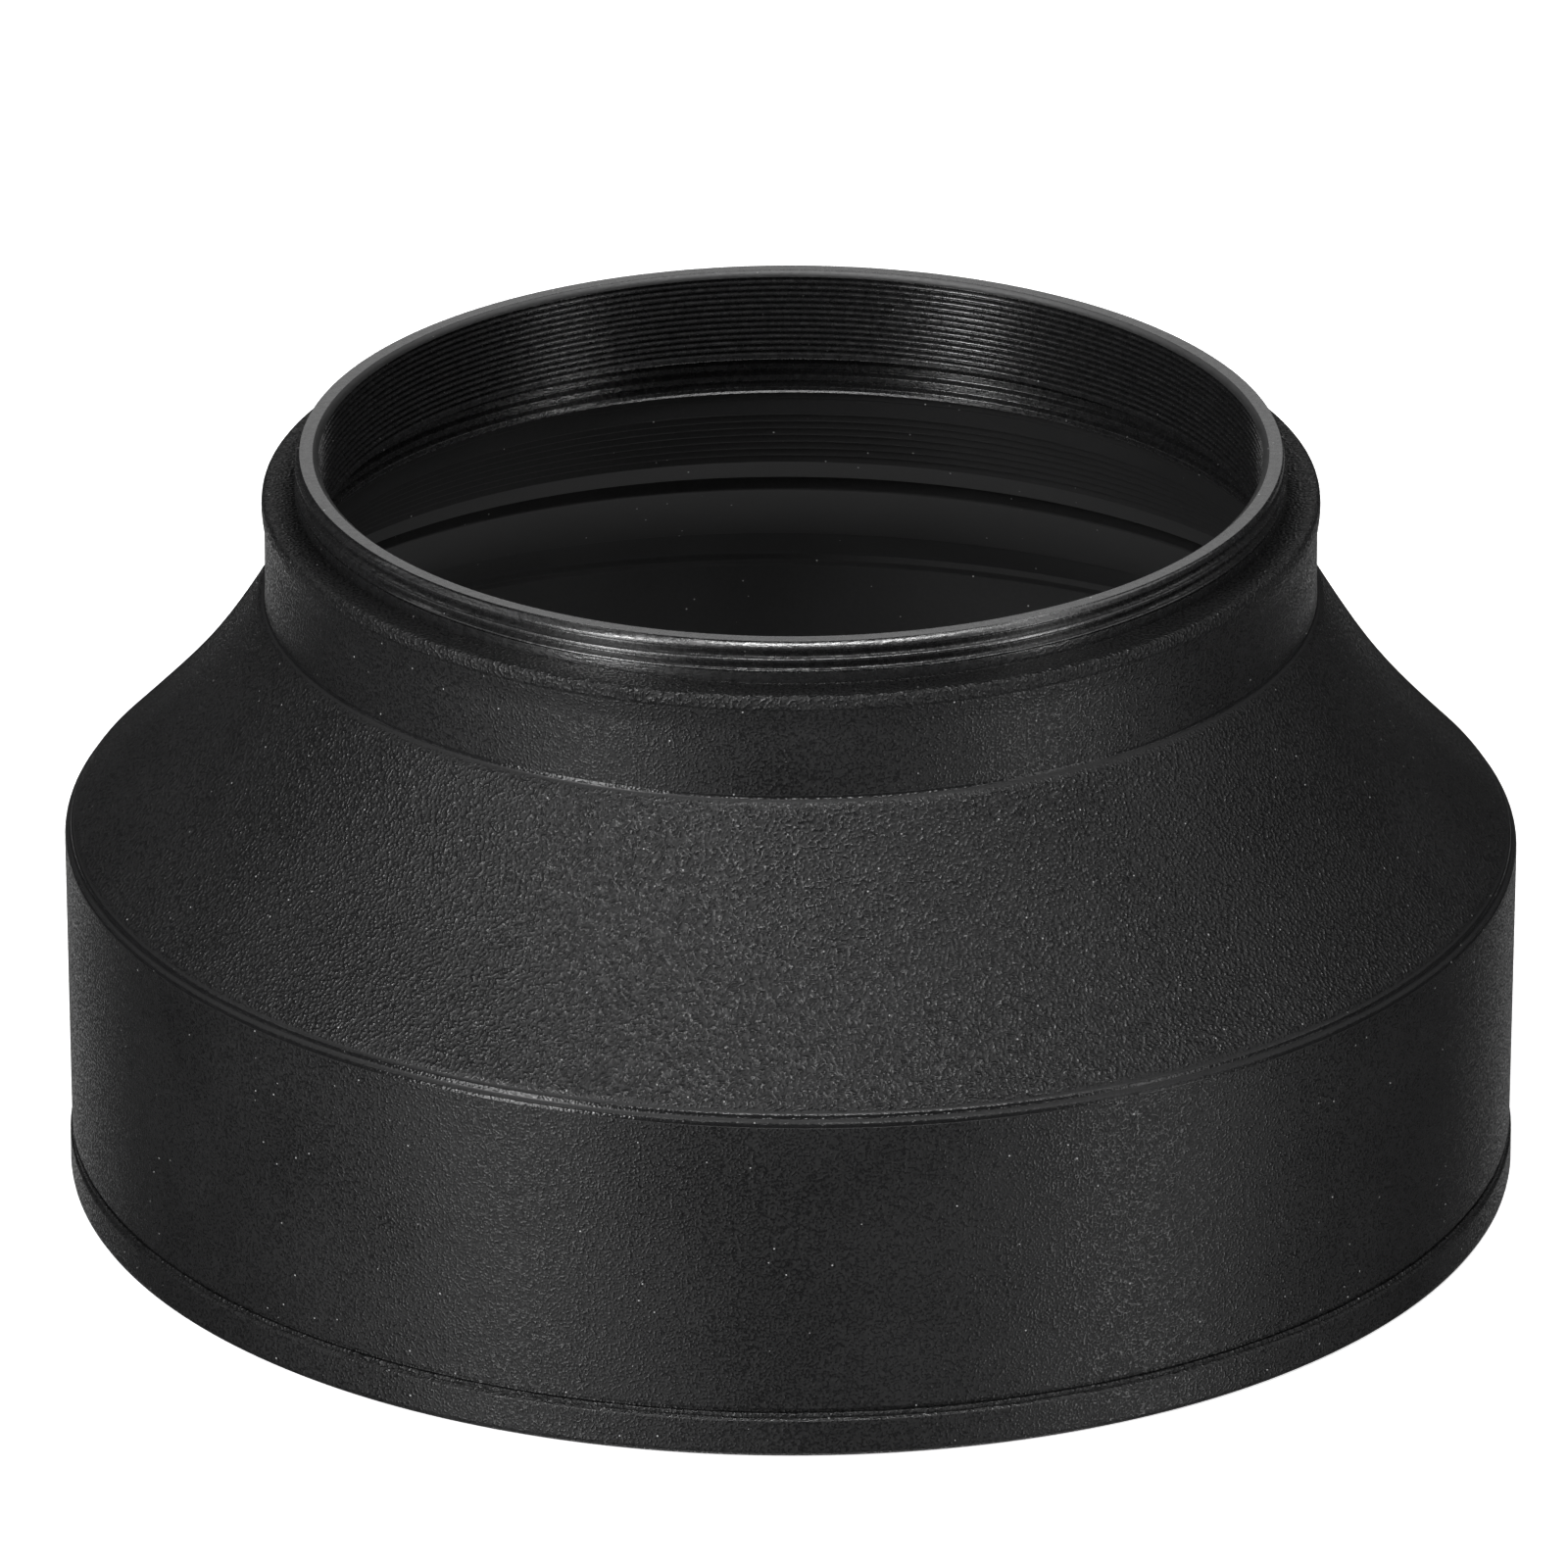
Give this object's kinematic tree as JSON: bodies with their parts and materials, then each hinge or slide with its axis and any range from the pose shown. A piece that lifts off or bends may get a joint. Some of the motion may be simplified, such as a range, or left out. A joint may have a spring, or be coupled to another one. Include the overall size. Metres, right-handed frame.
{
  "type": "lens hood",
  "caption": "Collapsible rubber lens hood: a threaded metal mount ring carries a rubber neck that widens through a folding cone to a tall round skirt with a beaded front rim.",
  "frame": {"origin": "centre of the front rim's plane, on which the hood stands", "axes": "+Z along the hood's axis, from the front rim towards the lens"},
  "size_m": [0.0854, 0.0854, 0.045],
  "materials": {
    "anodised_metal": "black anodised, semi-gloss",
    "black_rubber": "satin, finely grained"
  },
  "bodies": {
    "skirt": {"skirt": "black_rubber", "outer_web": "black_rubber"},
    "band": {"fold_band": "black_rubber", "inner_web": "black_rubber"},
    "neck": {"neck_collar": "black_rubber", "mount_ring": "anodised_metal", "retaining_ring": "anodised_metal"}
  },
  "joints": [
    {"name": "outer_fold", "type": "slide", "parent": "skirt", "child": "band", "axis": [0, 0, -1], "range_m": [0, 0.0102], "deforming": ["outer_web"]},
    {"name": "inner_fold", "type": "slide", "parent": "band", "child": "neck", "axis": [0, 0, -1], "range_m": [0, 0.0118], "deforming": ["inner_web"]}
  ]
}
